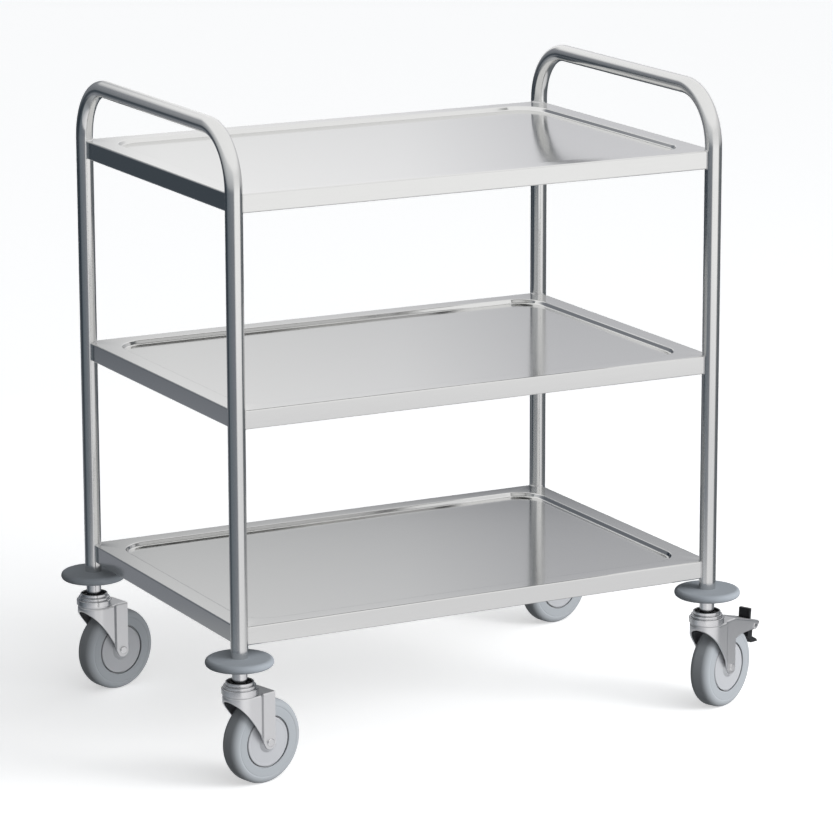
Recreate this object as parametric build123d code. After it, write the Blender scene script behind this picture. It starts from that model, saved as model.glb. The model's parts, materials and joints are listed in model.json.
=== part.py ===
from build123d import *
import math
import os

# Food service trolley: three pressed stainless shelves welded between two bent
# tube end frames, on four swivel castors with wall bumpers. The two castors at
# the right-hand end carry foot brakes. Millimetres, +Z up, long side along X.
# The origin is the middle of the whole object's box, on the floor.

# ---- Wheel ----
wheel_d = 125.0
wheel_w = 32.0
trail = 38.0                    # swivel axis to axle
tyre_side_d = 77.0              # opening in the tyre's side
tyre_seat_depth = 3.5           # seat on the rim, outside that opening
tyre_lap = 3.0                  # tyre side covering the rim's edge
tyre_shoulder_r = 10.0
rim_web = 7.0
hub_wall = 8.0
guard_gap = 2.0                 # dark groove round each thread guard
guard_t = 2.0
guard_recess = 0.4              # guard face below the tyre's side
guard_boss_r = 12.0
guard_side_gap = 0.6            # thread guard to hub
axle_d = 8.0
axle_end = 2.0                  # thread showing past the nut
axle_head_d = 12.0              # low round head
axle_head_h = 2.5
axle_sleeve_wall = 2.0
fit = 0.05                      # radial clearance of fixed and running fits

# ---- Fork ----
fork_sheet = 2.5
leg_gap = 2.5                   # tyre side to leg
crown_gap = 9.5                 # tyre to the underside of the fork's plate
crease_before_axle = 12.0       # where the leg turns flat
crease_length = 7.0             # the inward step just before it
rear_behind_axle = 9.5
fork_eye_r = 10.0
fork_fold_r = 3.0
fork_skirt_h = 4.0              # plate's turned-down front edge
rake_bow = 4.0                  # how far the leading edge bows in

# ---- Castor head ----
head_d = 50.0
boss_h = 4.5                    # race boss above the fork's plate
ball_d = 6.0
ball_edge = 5.0                 # ball circle inside the boss's edge
ball_spacing = 6.9
race_gap = 0.3                  # between the fixed race and what swivels
cup_wall = 2.0
cup_skirt_t = 1.0
cup_skirt_drop = 2.0            # skirt below the boss's top
cup_floor_h = 8.5               # above the boss's top, where the sleeve stands
cup_recess = 7.0
cup_taper = 6.0                 # rim narrower than the skirt, on the radius
cup_step_h = 2.0                # middle step above the cup's floor
seal_t = 4.0
king_pin_wall = 2.0
king_flange_w = 6.0
king_flange_t = 2.5

# ---- Bumper and what fastens a castor into its post ----
bumper_d = 98.0
bumper_t = 12.0
sleeve_step = 1.5               # spacer sleeve narrower than the post, on the radius
sleeve_show = 22.0              # length seen between cup and bumper
king_bolt_d = 12.0
king_bolt_engagement = 24.0     # length screwed into the tube plug
plug_len = 30.0

# ---- Brake, placed round the tyre's tread and then from its own pin ----
brake_pin_d = 6.0
brake_pin_clear = 17.15         # pin's axis outside the tread
brake_pin_rise = 38.884         # degrees above the axle, as seen from it
brake_pin_head = 1.5
housing_past_pin = 12.0
housing_fall = 18.0             # roof's drop towards the rear
housing_cheek_h = 28.0
brake_travel = 11.0             # degrees from released to locked
brake_pad_gap = 0.5             # left between pad and tyre when locked
pad_inset = 3.0                 # pad narrower than the tyre, each side
pedal_t = 5.0
pedal_boss_r = 6.0
pedal_side_gap = 0.5
tab_half_w = 9.5
tab_lean = 2.0                  # rearwards, over that height
tab_slot_gap = 2.0
pedal_drop = 26.0               # pad's lower end below the pin
lip_out = 13.0
lip_drop = 6.0

# ---- Frame ----
overall_height = 950.0          # floor to the top of the handles
post_spacing_x = 770.0          # between post axes, along the shelves
post_spacing_y = 520.0          # between post axes, across the shelves
tube_d = 25.0
tube_wall = 1.5
handle_bend_r = 82.0            # centre line of the tube

# ---- Shelves ----
bottom_rim_above_foot = 43.0    # rim above the cut end of the posts
lower_bay = 312.5               # bottom rim to middle rim
top_rim_below_handle = 98.0     # rim below the top of the handles
shelf_overhang = 2.5            # fascia face beyond the post axis
shelf_h = 27.0
sheet_t = 1.2
fold_r = 2.0                    # outside radius of the folded top edge
rim_w = 28.0                    # flat border round the tray
tray_depth = 6.0
tray_corner_r = 48.0
tray_slope = 25.0               # degrees the tray wall leans outwards
tray_cove_r = 2.5
lip_w = 13.0                    # return flange under the fascia
weld_gap = 0.1                  # tube to shelf notch, closed by the weld

# ---- Where the castors stand and point, degrees from +X towards +Y ----
castors = {
    "front_left": (-1, -1, 14.5, False),
    "rear_left": (-1, 1, 14.0, False),
    "front_right": (1, -1, 24.6, True),
    "rear_right": (1, 1, 15.0, True),
}

# ---- Worked out from the sizes above ----
wheel_r = wheel_d / 2
axle_z = wheel_r
tyre_seat_d = tyre_side_d + 2 * tyre_seat_depth
guard_d = tyre_side_d - 2 * guard_gap
axle_sleeve_d = axle_d + 2 * axle_sleeve_wall
hub_d = axle_sleeve_d + 2 * hub_wall
fork_inner_half_w = wheel_w / 2 + leg_gap
fork_half_w = fork_inner_half_w + fork_sheet
fork_crease_x = trail - crease_before_axle
fork_rear_x = trail + rear_behind_axle
fork_plate_z = wheel_d + crown_gap + fork_sheet
head_top_z = fork_plate_z + boss_h
ball_z = head_top_z + race_gap
ball_pitch_r = head_d / 2 - ball_edge
ball_count = int(2 * math.pi * ball_pitch_r / ball_spacing)
cup_inner_r = head_d / 2 + race_gap + 0.2
cup_r = cup_inner_r + cup_skirt_t
cup_rim_r = cup_r - cup_taper
cup_floor_z = head_top_z + cup_floor_h
cup_rim_z = cup_floor_z + cup_recess
king_pin_d = king_bolt_d + 2 * king_pin_wall
bumper_z = cup_rim_z + sleeve_show
post_foot_z = bumper_z + bumper_t
brake_pin_reach = wheel_r + brake_pin_clear
brake_pin_x = trail + brake_pin_reach * math.cos(math.radians(brake_pin_rise))
brake_pin_z = axle_z + brake_pin_reach * math.sin(math.radians(brake_pin_rise))
tab_rise = fork_plate_z - brake_pin_z
tube_r = tube_d / 2
sleeve_d = tube_d - 2 * sleeve_step
bore_r = tube_r - tube_wall
handle_z = overall_height - tube_r
bottom_rim_z = post_foot_z + bottom_rim_above_foot
shelf_rim_z = {
    "bottom": bottom_rim_z,
    "middle": bottom_rim_z + lower_bay,
    "top": overall_height - top_rim_below_handle,
}
nodes = {}


def ring(outer_r, inner_r, z0, z1):
    """A plain tube about Z between two heights."""
    blank = Cylinder(outer_r, z1 - z0, align=(Align.CENTER, Align.CENTER, Align.MIN))
    hole = Cylinder(inner_r, z1 - z0, align=(Align.CENTER, Align.CENTER, Align.MIN))
    return Pos(0, 0, z0) * (blank - hole)


def rod(r, z0, z1):
    """A plain round bar about Z between two heights."""
    return Pos(0, 0, z0) * Cylinder(r, z1 - z0, align=(Align.CENTER, Align.CENTER, Align.MIN))


def hexagon(thread_d, z0, z1):
    """A hexagon head or nut blank about Z for one thread size, its corners chamfered."""
    corner_r = (1.5 * thread_d + 1) / math.sqrt(3)
    prism = Pos(0, 0, z0) * extrude(RegularPolygon(corner_r, 6), z1 - z0)
    turned_down = rod(corner_r - 0.4, z0, z1)
    turned_down = chamfer(turned_down.edges().filter_by(GeomType.CIRCLE), 0.8)
    return prism & turned_down


def turned(points):
    """A solid of revolution about Z from (radius, height) corners."""
    return revolve(Plane.XZ * make_face(Polyline(*points, close=True)), Axis.Z)


def across_wheel(shape):
    """Lay a shape made about Z along the axle, Z becoming +Y."""
    return Pos(trail, 0, axle_z) * Rot(-90, 0, 0) * shape


# ---- Frame and shelves ----

def end_frame():
    """One inverted U of tube: two posts and the handle between them."""
    half_y = post_spacing_y / 2
    path = FilletPolyline(
        (0, -half_y, post_foot_z),
        (0, -half_y, handle_z),
        (0, half_y, handle_z),
        (0, half_y, post_foot_z),
        radius=handle_bend_r,
    )
    section = Plane(origin=path @ 0, z_dir=path % 0) * (Circle(tube_r) - Circle(bore_r))
    return sweep(section, path=path)


def tray_form(grow, top_z, depth):
    """The tray's pressed hollow: rounded corners, leaning wall, open at top_z."""
    length = post_spacing_x + 2 * shelf_overhang - 2 * rim_w + 2 * grow
    width = post_spacing_y + 2 * shelf_overhang - 2 * rim_w + 2 * grow
    mouth = RectangleRounded(length, width, tray_corner_r + grow)
    hollow = extrude(Pos(0, 0, top_z) * mouth, amount=-depth, taper=tray_slope)
    floor_edges = hollow.edges().group_by(Axis.Z)[0]
    return fillet(floor_edges, tray_cove_r)


def shelf(rim_z):
    """A pressed tray shelf with folded fascias and a return lip, notched for the posts."""
    length = post_spacing_x + 2 * shelf_overhang
    width = post_spacing_y + 2 * shelf_overhang
    low_z = rim_z - shelf_h
    blank = Pos(0, 0, low_z) * extrude(Rectangle(length, width), shelf_h)
    blank = fillet(blank.edges().group_by(Axis.Z)[-1], fold_r)
    under = Pos(0, 0, low_z + sheet_t) * extrude(
        Rectangle(length - 2 * sheet_t, width - 2 * sheet_t), shelf_h - 2 * sheet_t
    )
    under -= tray_form(sheet_t, rim_z, tray_depth + sheet_t)
    mouth = Pos(0, 0, low_z) * extrude(Rectangle(length - 2 * lip_w, width - 2 * lip_w), sheet_t)
    tray = blank - tray_form(0, rim_z, tray_depth) - under - mouth
    notch_r = tube_r + weld_gap
    for sx in (-1, 1):
        for sy in (-1, 1):
            place = Pos(sx * post_spacing_x / 2, sy * post_spacing_y / 2, 0)
            tray -= place * rod(notch_r, low_z - 1, rim_z + 1)
    return tray


# ---- What fastens each castor into its post ----

def bumper():
    """Rubber disc with a full round edge, trapped under the post."""
    disc = rod(bumper_d / 2, bumper_z, post_foot_z)
    disc = fillet(disc.edges().filter_by(GeomType.CIRCLE), bumper_t / 2 - 0.05)
    return disc - rod(sleeve_d / 2 + fit, bumper_z - 1, post_foot_z + 1)


def tube_plug():
    return ring(bore_r - fit, king_bolt_d / 2 + fit, post_foot_z, post_foot_z + plug_len)


def spacer_sleeve():
    return ring(sleeve_d / 2, king_bolt_d / 2 + fit, cup_floor_z, post_foot_z)


def king_bolt():
    head_top = fork_plate_z - fork_sheet - race_gap - king_flange_t
    shank = rod(king_bolt_d / 2, head_top, post_foot_z + king_bolt_engagement)
    return shank + hexagon(king_bolt_d, head_top - 0.625 * king_bolt_d, head_top)


def dust_seal():
    inner = sleeve_d / 2 + fit
    outer = cup_rim_r - cup_wall - fit
    points = ((inner, cup_floor_z), (outer, cup_floor_z))
    points += ((outer, cup_floor_z + seal_t - 1), (inner + 2, cup_floor_z + seal_t))
    return turned(points + ((inner, cup_floor_z + seal_t),))


# ---- Castor head, in castor axes: swivel axis on Z, wheel trailing towards +X ----

def race_cup():
    """The fixed upper race: skirt over the balls and an open rim round the sleeve."""
    pin_r = king_pin_d / 2 + fit
    underside_z = head_top_z + 2 * race_gap
    skirt_z = head_top_z - cup_skirt_drop
    shoulder_z = cup_floor_z - 2.5
    step_r = (cup_r + cup_rim_r) / 2
    step_z = cup_floor_z + cup_step_h
    points = (
        (pin_r, underside_z),
        (cup_inner_r, underside_z),
        (cup_inner_r, skirt_z),
        (cup_r, skirt_z),
        (cup_r, shoulder_z - 1),
        (cup_r - 1, shoulder_z),
        (step_r, shoulder_z),
        (step_r, step_z - 1),
        (step_r - 1, step_z),
        (cup_rim_r, step_z),
        (cup_rim_r, cup_rim_z),
        (cup_rim_r - cup_wall, cup_rim_z),
        (cup_rim_r - cup_wall, cup_floor_z),
        (pin_r, cup_floor_z),
    )
    groove = Torus(ball_pitch_r, ball_d / 2 + race_gap)
    return turned(points) - Pos(0, 0, ball_z) * groove


def king_pin():
    """Hollow rivet that holds the fork up against the balls."""
    plate_z = fork_plate_z - fork_sheet
    flange_top = plate_z - race_gap
    pin = rod(king_pin_d / 2, flange_top, cup_floor_z)
    pin += rod(king_pin_d / 2 + king_flange_w, flange_top - king_flange_t, flange_top)
    return pin - rod(king_bolt_d / 2 + fit, flange_top - king_flange_t - 1, cup_floor_z + 1)


def swivel_balls():
    """The ring of balls between the two races, as separate solids."""
    places = PolarLocations(ball_pitch_r, ball_count)
    return Compound([Pos(0, 0, ball_z) * place * Sphere(ball_d / 2) for place in places])


def fork_outline(shrink):
    """Fork seen from above: round at the front, stepping in to two flat legs at the rear."""
    round_r = head_d / 2 - shrink
    side = fork_half_w - shrink
    rear = fork_rear_x + 2 * shrink
    half = [(0, round_r), (fork_crease_x - crease_length, round_r), (fork_crease_x, side), (rear, side)]
    mirrored = [(x, -y) for x, y in reversed(half)]
    return Circle(round_r) + make_face(Polyline(*half, *mirrored, close=True))


def fork_side():
    """Fork seen from the side: raked leading edge, upright trailing edge, eye at the axle."""
    front = (-head_d / 2 - 1, fork_plate_z - fork_skirt_h)
    eye_front = (trail - 0.96 * fork_eye_r, axle_z - 0.3 * fork_eye_r)
    rake = Vector(*eye_front) - Vector(*front)
    middle = Vector(*front) + rake * 0.5 + Vector(-rake.Y, rake.X).normalized() * rake_bow
    lead = ThreePointArc(front, middle, eye_front)
    rest = Polyline(
        eye_front,
        (trail, axle_z),
        (fork_rear_x, axle_z),
        (fork_rear_x, fork_plate_z),
        (front[0], fork_plate_z),
        front,
    )
    return make_face(lead + rest) + Pos(trail, axle_z) * Circle(fork_eye_r)


def fork():
    """Pressed fork: plate with a race boss, and two legs down to the axle."""
    low_z = axle_z - fork_eye_r - 2
    height = fork_plate_z - low_z
    body = Pos(0, 0, low_z) * extrude(fork_outline(0), height)
    body = fillet(body.edges().group_by(Axis.Z)[-1], fork_fold_r)
    body -= Pos(0, 0, low_z) * extrude(fork_outline(fork_sheet), height - fork_sheet)
    body &= extrude(Plane.XZ * fork_side(), amount=2 * fork_half_w, both=True)
    body += rod(head_d / 2 - fork_fold_r, fork_plate_z - fork_sheet, fork_plate_z)
    body += rod(head_d / 2, fork_plate_z, head_top_z)
    body -= rod(king_pin_d / 2 + fit, low_z, head_top_z + 1)
    body -= Pos(0, 0, ball_z) * Torus(ball_pitch_r, ball_d / 2 + fit)
    return body - across_wheel(rod(axle_d / 2 + fit, -2 * fork_half_w, 2 * fork_half_w))


# ---- Wheel and axle, turned about Z and then laid along the axle ----

def tyre():
    """Grey rubber tyre with rounded shoulders, its sides lapping the rim."""
    half = wheel_w / 2
    blank = rod(wheel_r, -half, half)
    blank = fillet(blank.edges().filter_by(GeomType.CIRCLE), tyre_shoulder_r)
    blank -= rod(tyre_side_d / 2, -half - 1, half + 1)
    seat_half = half - tyre_lap + fit
    return across_wheel(blank - rod(tyre_seat_d / 2 + fit, -seat_half, seat_half))


def wheel_rim():
    """Moulded hub, web and rim in one piece."""
    seat_half = wheel_w / 2 - tyre_lap
    hub_half = wheel_w / 2 - guard_recess - guard_t - guard_side_gap
    inner_r = tyre_side_d / 2 - 1
    web_half = rim_web / 2
    bore = axle_sleeve_d / 2 + fit
    half = (
        (bore, hub_half),
        (hub_d / 2, hub_half),
        (hub_d / 2, web_half),
        (inner_r - 1, web_half),
        (inner_r, seat_half),
        (tyre_seat_d / 2, seat_half),
    )
    mirrored = tuple((r, -z) for r, z in reversed(half))
    return across_wheel(turned(half + mirrored))


def axle_sleeve():
    """Steel bush the wheel turns on, clamped between the thread guards."""
    half = wheel_w / 2 - guard_recess - guard_t
    return across_wheel(ring(axle_sleeve_d / 2, axle_d / 2 + fit, -half, half))


def thread_guards():
    """Two thin dished discs, one in each side of the wheel, held by the axle."""
    outer = wheel_w / 2 - guard_recess
    inner = outer - guard_t
    bore = axle_d / 2 + fit
    points = ((bore, inner), (guard_d / 2, inner), (guard_d / 2, outer - 0.8))
    points += ((guard_d / 2 - 0.8, outer), (guard_boss_r + 3, outer))
    points += ((guard_boss_r, fork_inner_half_w),)
    guard = turned(points + ((bore, fork_inner_half_w),))
    return Compound([across_wheel(guard), across_wheel(Rot(180, 0, 0) * guard)])


def axle_bolt():
    """Axle with a low round head, towards -Y before the castor is turned."""
    end = fork_half_w + 0.8 * axle_d + axle_end
    head = rod(axle_head_d / 2, -fork_half_w - axle_head_h, -fork_half_w)
    head = fillet(head.edges().group_by(Axis.Z)[0], axle_head_h / 2)
    return across_wheel(rod(axle_d / 2, -fork_half_w, end) + head)


def axle_nut():
    outer_face = fork_half_w + 0.8 * axle_d
    nut = hexagon(axle_d, fork_half_w, outer_face)
    return across_wheel(nut - rod(axle_d / 2 + fit, fork_half_w - 1, outer_face + 1))


# ---- Brake, in castor axes ----

def brake_side(drop):
    """Housing seen from the side: a wedge that falls towards its rear end."""
    roof_z = fork_plate_z - drop
    low_z = fork_plate_z - housing_cheek_h - drop
    rear_x = brake_pin_x + housing_past_pin
    return make_face(Polyline(
        (fork_rear_x, roof_z),
        (rear_x, roof_z - housing_fall),
        (rear_x, roof_z - housing_fall - 3),
        (brake_pin_x + housing_past_pin / 2, low_z),
        (fork_rear_x + 14, low_z),
        (fork_rear_x, low_z - 4),
        close=True,
    ))


def brake_housing():
    """Sheet cover behind the fork: two cheeks and a sloping roof, open below."""
    shell = extrude(Plane.XZ * brake_side(0), amount=fork_half_w, both=True)
    shell -= extrude(Plane.XZ * brake_side(fork_sheet), amount=fork_inner_half_w, both=True)
    slot_l = pedal_boss_r + housing_past_pin + 1
    slot = Box(slot_l, 2 * (tab_half_w + tab_slot_gap), housing_cheek_h,
               align=(Align.MIN, Align.CENTER, Align.MIN))
    shell -= Pos(brake_pin_x - pedal_boss_r, 0, brake_pin_z) * slot
    pin_hole = Cylinder(brake_pin_d / 2 + fit, 4 * fork_half_w, rotation=(90, 0, 0))
    return shell - Pos(brake_pin_x, 0, brake_pin_z) * pin_hole


def brake_pin():
    """Rivet through both cheeks, with a low head at each end."""
    pin = rod(brake_pin_d / 2, -fork_half_w, fork_half_w)
    for low in (-fork_half_w - brake_pin_head, fork_half_w):
        pin += rod(brake_pin_d / 2 + brake_pin_head, low, low + brake_pin_head)
    return Pos(brake_pin_x, 0, brake_pin_z) * Rot(-90, 0, 0) * pin


def brake_pedal():
    """Rocker on the pin: tab above, pad and foot lip below, shown released."""
    pivot = Pos(brake_pin_x, 0, brake_pin_z)
    boss = Cylinder(pedal_boss_r, 2 * (fork_inner_half_w - pedal_side_gap), rotation=(90, 0, 0))
    arm_profile = make_face(Polyline(
        (-pedal_boss_r, 0),
        (pedal_boss_r, 0),
        (pedal_t - 4, -pedal_drop + 7),
        (lip_out - 1, -pedal_drop - lip_drop + 4),
        (lip_out, -pedal_drop - lip_drop),
        (-pedal_boss_r, -pedal_drop - 1),
        (-2 * pedal_boss_r, -pedal_drop),
        close=True,
    ))
    pad_half_w = wheel_w / 2 - pad_inset
    arm = extrude(Plane.XZ * arm_profile, amount=pad_half_w, both=True)
    tread = Cylinder(wheel_r + brake_pad_gap, 2 * wheel_w, rotation=(90, 0, 0))
    locked_arm = arm - pivot.inverse() * Pos(trail, 0, axle_z) * tread
    tab_profile = make_face(Polyline(
        (0, 0), (pedal_t, 0), (tab_lean + pedal_t, tab_rise), (tab_lean, tab_rise), close=True,
    ))
    tab = extrude(Plane.XZ * tab_profile, amount=tab_half_w, both=True)
    hole = Cylinder(brake_pin_d / 2 + fit, 4 * fork_half_w, rotation=(90, 0, 0))
    return pivot * (Rot(0, -brake_travel, 0) * locked_arm + boss + tab - hole)


# ---- Assembly about the middle of the four posts ----

for side, sx in (("left", -1), ("right", 1)):
    nodes[f"{side}_end_frame"] = Pos(sx * post_spacing_x / 2, 0, 0) * end_frame()
for level, rim_z in shelf_rim_z.items():
    nodes[f"{level}_shelf"] = shelf(rim_z)

posts = [Pos(sx * post_spacing_x / 2, sy * post_spacing_y / 2, 0)
         for sx, sy, heading, braked in castors.values()]
for name, make in (("tube_plugs", tube_plug), ("king_bolts", king_bolt),
                   ("spacer_sleeves", spacer_sleeve), ("dust_seals", dust_seal)):
    nodes[name] = Compound([post * make() for post in posts])

fixed_pieces = {"bumper": bumper, "race_cup": race_cup, "king_pin": king_pin}
turning_pieces = {
    "swivel_balls": swivel_balls,
    "fork": fork,
    "axle_bolt": axle_bolt,
    "axle_nut": axle_nut,
    "axle_sleeve": axle_sleeve,
    "thread_guards": thread_guards,
    "wheel_rim": wheel_rim,
    "tyre": tyre,
}
brake_pieces = {
    "brake_housing": brake_housing,
    "brake_pedal": brake_pedal,
    "brake_pin": brake_pin,
}
for (corner, (sx, sy, heading, braked)), post in zip(castors.items(), posts):
    for piece, make in fixed_pieces.items():
        nodes[f"{corner}_{piece}"] = post * make()
    turned_post = post * Rot(0, 0, heading)
    for piece, make in turning_pieces.items():
        nodes[f"{corner}_{piece}"] = turned_post * make()
    if braked:
        for piece, make in brake_pieces.items():
            nodes[f"{corner}_{piece}"] = turned_post * make()

whole = Compound(list(nodes.values())).bounding_box()
origin = Vector(whole.center().X, whole.center().Y, 0)
os.makedirs("parts", exist_ok=True)
for name, shape in nodes.items():
    export_step(Pos(-origin.X, -origin.Y, 0) * shape, f"parts/{name}.step")
print(f"{len(nodes)} nodes, box {whole.size}, post centre at {-origin.X:.3f}, {-origin.Y:.3f}")
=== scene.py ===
import json
import math

import bmesh
import bpy
from bpy.props import FloatProperty, FloatVectorProperty, IntProperty, PointerProperty, StringProperty
from mathutils import Matrix, Vector


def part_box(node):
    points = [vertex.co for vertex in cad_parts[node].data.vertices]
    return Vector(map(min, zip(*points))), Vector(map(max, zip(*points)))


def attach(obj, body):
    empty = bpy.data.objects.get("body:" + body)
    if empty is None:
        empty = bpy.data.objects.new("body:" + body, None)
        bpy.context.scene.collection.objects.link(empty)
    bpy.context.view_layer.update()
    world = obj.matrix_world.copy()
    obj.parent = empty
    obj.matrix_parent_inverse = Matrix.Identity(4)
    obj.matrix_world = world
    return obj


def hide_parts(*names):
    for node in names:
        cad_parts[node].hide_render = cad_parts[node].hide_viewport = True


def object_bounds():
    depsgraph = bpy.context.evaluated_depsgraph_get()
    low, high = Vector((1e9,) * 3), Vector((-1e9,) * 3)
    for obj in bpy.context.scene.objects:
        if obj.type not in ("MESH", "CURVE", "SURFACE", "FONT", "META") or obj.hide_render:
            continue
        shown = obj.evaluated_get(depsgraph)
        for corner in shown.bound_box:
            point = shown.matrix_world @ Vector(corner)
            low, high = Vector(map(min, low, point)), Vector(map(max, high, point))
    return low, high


bl_info = {
    "name": "Food Service Trolley",
    "version": (1, 0, 0),
    "blender": (4, 5, 0),
    "location": "View3D > Sidebar > Trolley",
    "description": "Builds the finished pieces, materials and studio of a food service trolley",
    "category": "Add Mesh",
}

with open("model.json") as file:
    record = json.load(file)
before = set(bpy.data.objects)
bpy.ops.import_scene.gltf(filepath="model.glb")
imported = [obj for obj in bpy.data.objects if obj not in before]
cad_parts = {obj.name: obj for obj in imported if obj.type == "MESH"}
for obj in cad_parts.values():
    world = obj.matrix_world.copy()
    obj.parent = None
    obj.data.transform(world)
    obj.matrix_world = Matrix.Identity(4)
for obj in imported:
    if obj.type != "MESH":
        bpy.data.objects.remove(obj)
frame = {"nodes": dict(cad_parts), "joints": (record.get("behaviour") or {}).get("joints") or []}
cad_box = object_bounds()

MM = 0.001
HAIR = 1e-5                 # metres: closer than this is the same place
CORNERS = ("front_left", "rear_left", "front_right", "rear_right")
LEVELS = ("bottom", "middle", "top")
SIDES = ("left", "right")


# ---- Sizes read from the frame ----

def joint(name):
    """One joint of the frame, by name."""
    return next(j for j in frame["joints"] if j["name"] == name)


def swivel_point(corner):
    """Where a castor's swivel axis meets the floor."""
    x, y, _ = joint(f"{corner}_castor_swivel")["pos_m"]
    return Vector((x, y, 0))


def castor_place(corner):
    """Castor axes to the trolley's: the swivel axis is Z and the wheel trails towards +X."""
    axle = Vector(joint(f"{corner}_wheel_spin")["pos_m"])
    centre = swivel_point(corner)
    heading = math.atan2(axle.y - centre.y, axle.x - centre.x)
    return Matrix.Translation(centre) @ Matrix.Rotation(heading, 4, "Z")


def top_of(node):
    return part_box(node)[1].z


def foot_of(node):
    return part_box(node)[0].z


THROUGH = 40 * MM           # half the length of a bar that cuts right across a castor
HEAD_OVER = 1.5 * MM        # castor head beyond the fork's race boss, on the radius
TRACK_IN = 5 * MM           # ring of swivel balls inside the race boss's edge, on the radius
RACE_GAP = 0.3 * MM         # between the race boss and the castor head
AXLE_Z = joint("front_left_wheel_spin")["pos_m"][2]
TRAIL = (Vector(joint("front_left_wheel_spin")["pos_m"]) - swivel_point("front_left")).xy.length


# ---- Sizes and colours that a user would change ----

def length(name, millimetres, description):
    """A length setting, its default given in millimetres."""
    return FloatProperty(name=name, description=description, default=millimetres * MM, unit="LENGTH")


def turned_by(name, degrees, description):
    """An angle setting, its default given in degrees."""
    return FloatProperty(name=name, description=description, default=math.radians(degrees),
                         subtype="ANGLE", unit="ROTATION")


class TrolleyTubeSizes(bpy.types.PropertyGroup):
    """Bent tube end frames"""
    diameter: length("Tube diameter", 25, "Outside diameter of the frame tube")
    wall: length("Tube wall", 1.5, "Wall of the frame tube")
    bend: length("Bend radius", 82, "Handle bend, to the tube's centre line")
    bead: length("Weld bead", 0.9, "Radius of the weld between tube and shelf")
    ripple: length("Weld ripple", 1.2, "Distance between the ripples of a weld")


class TrolleyShelfSizes(bpy.types.PropertyGroup):
    """Pressed tray shelves"""
    sheet: length("Sheet", 1.2, "Thickness of the shelf's sheet")
    border: length("Border", 28, "Flat border round the tray")
    depth: length("Tray depth", 6, "How deep the tray is pressed")
    corner: length("Tray corner", 48, "Corner radius of the tray")
    slope: turned_by("Tray slope", 25, "How far the tray's wall leans outwards")
    cove: length("Cove", 2.5, "Radius at the foot of the tray's wall")
    fold: length("Fold", 2, "Outside radius of the folded top edge")
    lip: length("Lip", 13, "Width of the return lip under the fascia")
    notch_gap: length("Notch gap", 0.1, "Between a post and the shelf's notch")


class TrolleyCastorSizes(bpy.types.PropertyGroup):
    """Bumpers, castor heads, forks and wheels"""
    bumper: length("Bumper diameter", 98, "Diameter of the wall bumper")
    sleeve: length("Sleeve diameter", 22, "Diameter of the spacer under the bumper")
    king_bolt: length("King bolt", 12, "Diameter of the bolt up into the post")
    king_pin: length("King pin", 16, "Diameter of the hollow rivet through the head")
    head: length("Head diameter", 50, "Diameter of the fork's race boss")
    boss: length("Boss height", 4.5, "Race boss above the fork's plate")
    ball: length("Ball diameter", 6, "Balls between the races")
    cup_wall: length("Cup wall", 2, "Wall of the head's open rim")
    cup_step: length("Cup step", 3, "How far each ring of the head steps in")
    sheet: length("Fork sheet", 2.5, "Thickness of the fork's sheet")
    leg_gap: length("Leg gap", 2.5, "From the tyre's side to the fork's leg")
    crease: length("Crease", 12, "From the axle forwards to the flat leg's edge")
    crease_length: length("Crease length", 7, "Length of the inward step before the flat leg")
    tail: length("Tail", 9.5, "Fork behind the axle")
    eye: length("Eye", 10, "Radius of the leg's end round the axle")
    fold: length("Fold", 3, "Outside radius of the plate's folded edge")
    skirt: length("Skirt", 4, "Plate's turned-down front edge")
    bow: length("Rake bow", 4, "How far the leading edge bows in")
    tyre_width: length("Tyre width", 32, "Width of the tyre")
    tyre_side: length("Tyre opening", 77, "Diameter of the opening in the tyre's side")
    shoulder: length("Tyre shoulder", 10, "Radius of the tyre's shoulder")
    guard: length("Thread guard", 73, "Diameter of the disc in the wheel's side")
    guard_sheet: length("Guard thickness", 2, "Thickness of the thread guard")
    guard_recess: length("Guard recess", 0.4, "Thread guard's face below the tyre's side")
    axle: length("Axle", 8, "Diameter of the axle bolt")
    axle_head: length("Axle head", 12, "Diameter of the axle's low round head")
    fit: length("Fit", 0.05, "Radial clearance of a pin in its bore")


class TrolleyBrakeSizes(bpy.types.PropertyGroup):
    """Foot brakes"""
    pin: length("Pin", 6, "Diameter of the pedal's pin")
    past_pin: length("Past the pin", 12, "Housing behind the pin")
    fall: length("Fall", 18, "How far the housing's roof drops")
    cheek: length("Cheek", 28, "Height of the housing's cheeks")
    boss: length("Pedal boss", 6, "Radius of the pedal's boss")
    blade: length("Blade", 5, "Thickness of the pedal's tab")
    tab: length("Tab", 9.5, "Half the width of the pedal's tab")
    lean: length("Lean", 2, "How far the tab leans back")
    drop: length("Drop", 26, "Pad's lower end below the pin")
    lip: length("Foot lip", 13, "Reach of the foot lip behind the pin")
    pad: length("Pad", 13, "Half the width of the brake pad")
    pad_gap: length("Pad gap", 0.5, "Between pad and tyre when locked")
    travel: turned_by("Travel", 11, "Pedal's swing from released to locked")


class TrolleyFinishes(bpy.types.PropertyGroup):
    """Colours, as sRGB hex"""
    stainless: StringProperty(name="Stainless steel", description="Tubes and shelves", default="#DCDCDB")
    pressed_steel: StringProperty(name="Pressed steel", description="Forks and castor heads",
                                  default="#DCDCDD")
    bumper: StringProperty(name="Bumper rubber", description="Wall bumpers", default="#5F676F")
    tyre: StringProperty(name="Tyre rubber", description="Tyres", default="#A8AAAD")
    wheel: StringProperty(name="Wheel plastic", description="Rims and thread guards", default="#B2B3B6")
    pedal: StringProperty(name="Pedal plastic", description="Brake pedals", default="#17191C")
    # Colour of the near-black rings that fill the castor heads' mouths round the sleeves
    seal: StringProperty(name="Seal rubber", description="Dust seals", default="#101214")
    floor: StringProperty(name="Floor", description="Studio floor", default="#F7F7F7")


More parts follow.
